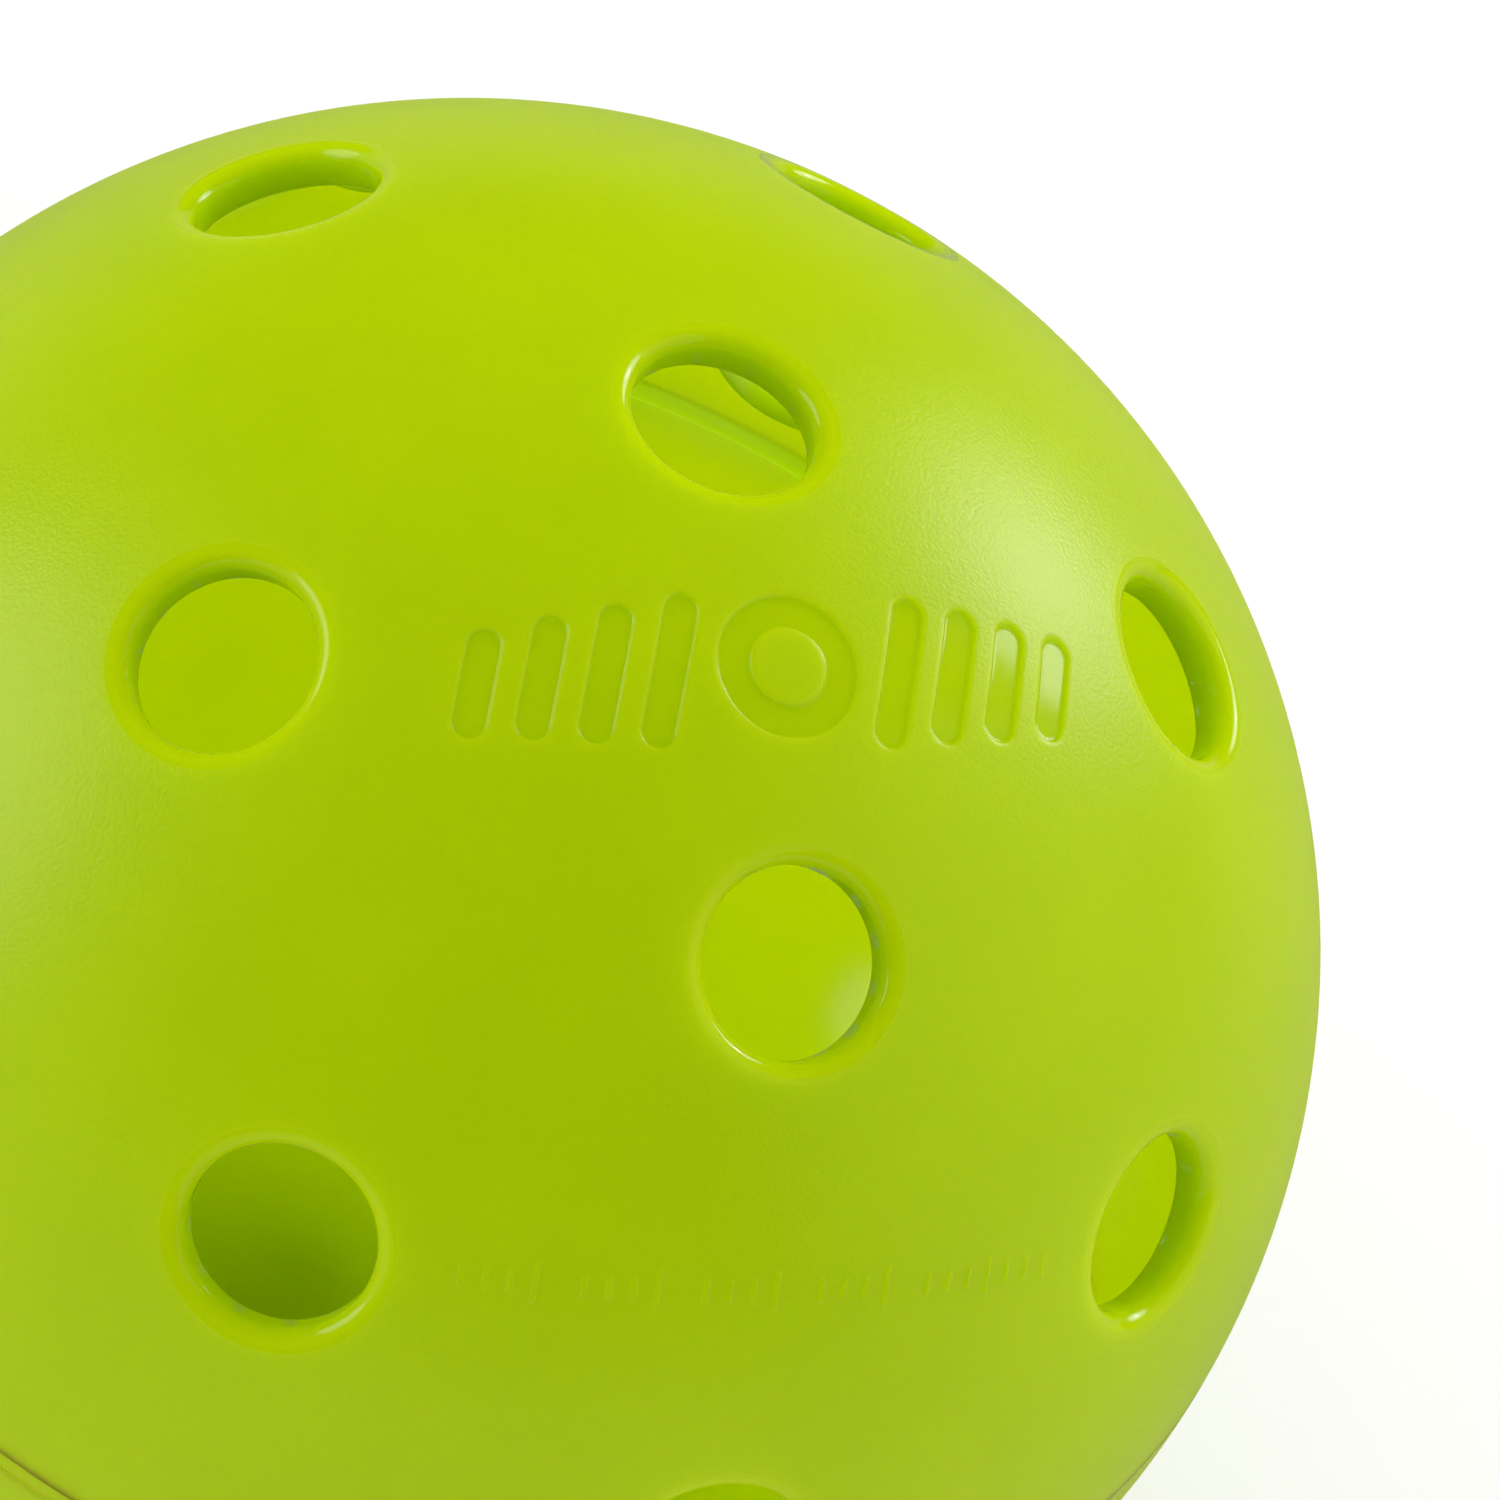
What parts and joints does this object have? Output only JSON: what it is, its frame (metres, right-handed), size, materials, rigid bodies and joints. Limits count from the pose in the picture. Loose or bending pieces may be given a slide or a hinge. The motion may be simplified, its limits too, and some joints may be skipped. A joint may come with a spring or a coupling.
{
  "type": "pickleball ball",
  "caption": "Hollow perforated plastic ball for pickleball: moulded half shells with round, rounded-edge holes, welded together at the equator.",
  "frame": {"origin": "centre of the ball", "axes": "+Z through the upper pole hole, at right angles to the weld's plane; +X towards the middle-row hole upper_middle_hole_1's longitude"},
  "size_m": [0.074, 0.074, 0.0734],
  "materials": {
    "shell_plastic": "injection-moulded polyethylene, translucent yellow-green, fine spark-eroded skin outside",
    "weld_plastic": "the same polyethylene remelted in the weld, smooth and slightly glossy"
  },
  "bodies": {
    "root": {"upper_shell": "shell_plastic", "lower_shell": "shell_plastic", "seam_weld_ring": "weld_plastic"}
  },
  "joints": []
}
